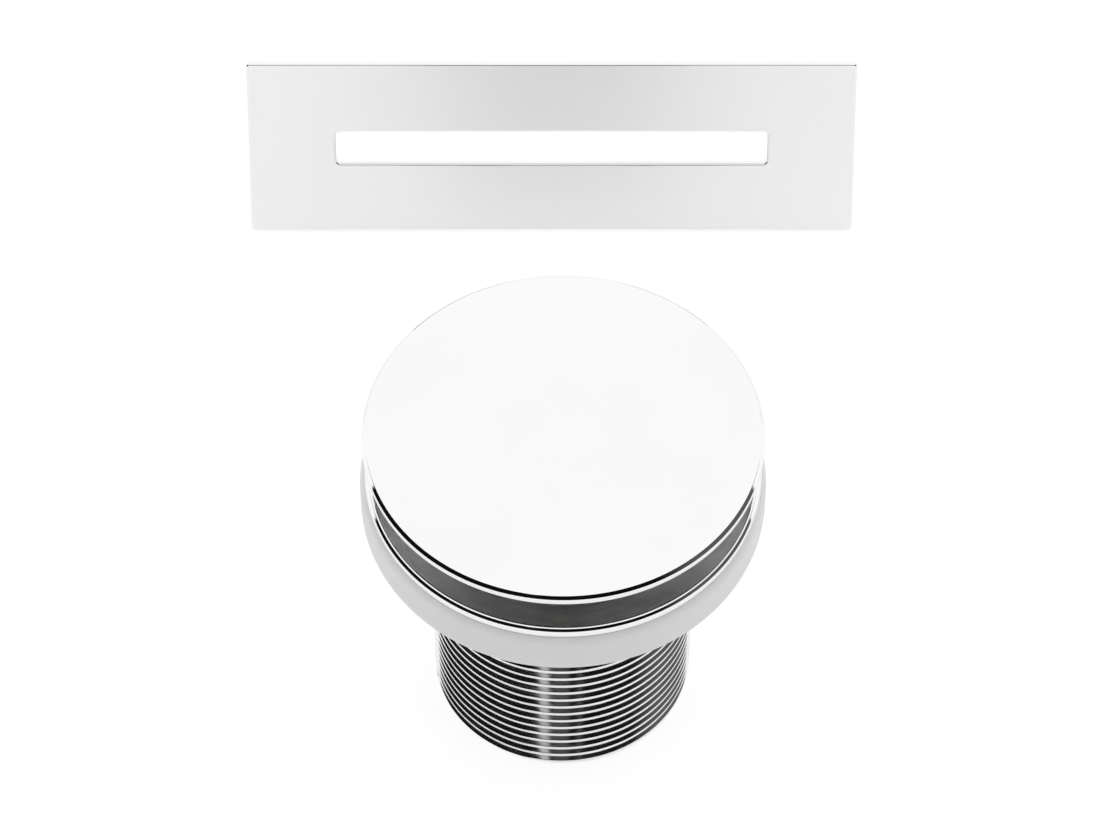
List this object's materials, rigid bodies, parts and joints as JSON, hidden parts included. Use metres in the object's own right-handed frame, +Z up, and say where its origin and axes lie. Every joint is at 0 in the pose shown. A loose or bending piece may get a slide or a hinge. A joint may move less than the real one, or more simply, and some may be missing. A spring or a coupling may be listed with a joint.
{
  "type": "bath waste and overflow",
  "caption": "Push-to-close bath waste with a flat disc cap, dished flange, thick gasket and threaded tail, and a rectangular slotted overflow cover with a rear duct.",
  "frame": {"origin": "on the waste's axis, at the end of its tail, on the surface it stands on", "axes": "+Z up along the waste's axis towards its cap; the overflow cover stands behind it, towards +Y"},
  "size_m": [0.1214, 0.1649, 0.0715],
  "materials": {
    "chrome": "polished plate",
    "pale_rubber": "matt",
    "nickel": "turned, nickel plated",
    "steel": "drawn",
    "fibre": "matt",
    "black_rubber": "matt",
    "black_plastic": "moulded",
    "pale_plastic": "moulded",
    "white_plastic": "moulded"
  },
  "bodies": {
    "fixed_parts": {"waste_body": "chrome", "flange_gasket": "pale_rubber", "cartridge_barrel": "nickel", "barrel_washer": "fibre", "cartridge_lock_washer": "steel", "cartridge_lock_nut": "nickel", "barrel_gland": "nickel", "stem_wiper": "black_rubber", "spring_seat": "steel", "return_spring": "steel", "overflow_plate": "chrome", "overflow_gasket": "black_rubber", "overflow_duct": "white_plastic", "overflow_grip": "black_rubber"},
    "plug": {"plug_cap": "chrome", "seal_carrier": "black_plastic", "plug_seal": "black_rubber", "push_stem": "nickel", "stem_lock_nut": "nickel", "index_rotor": "pale_plastic"}
  },
  "joints": [
    {"name": "plug_slide", "type": "slide", "parent": "fixed_parts", "child": "plug", "axis": [0, 0, 1], "range_m": [-0.008, 0], "stiffness_N_per_m": 1200, "springref_m": 0.006, "deforming": ["return_spring"]}
  ]
}
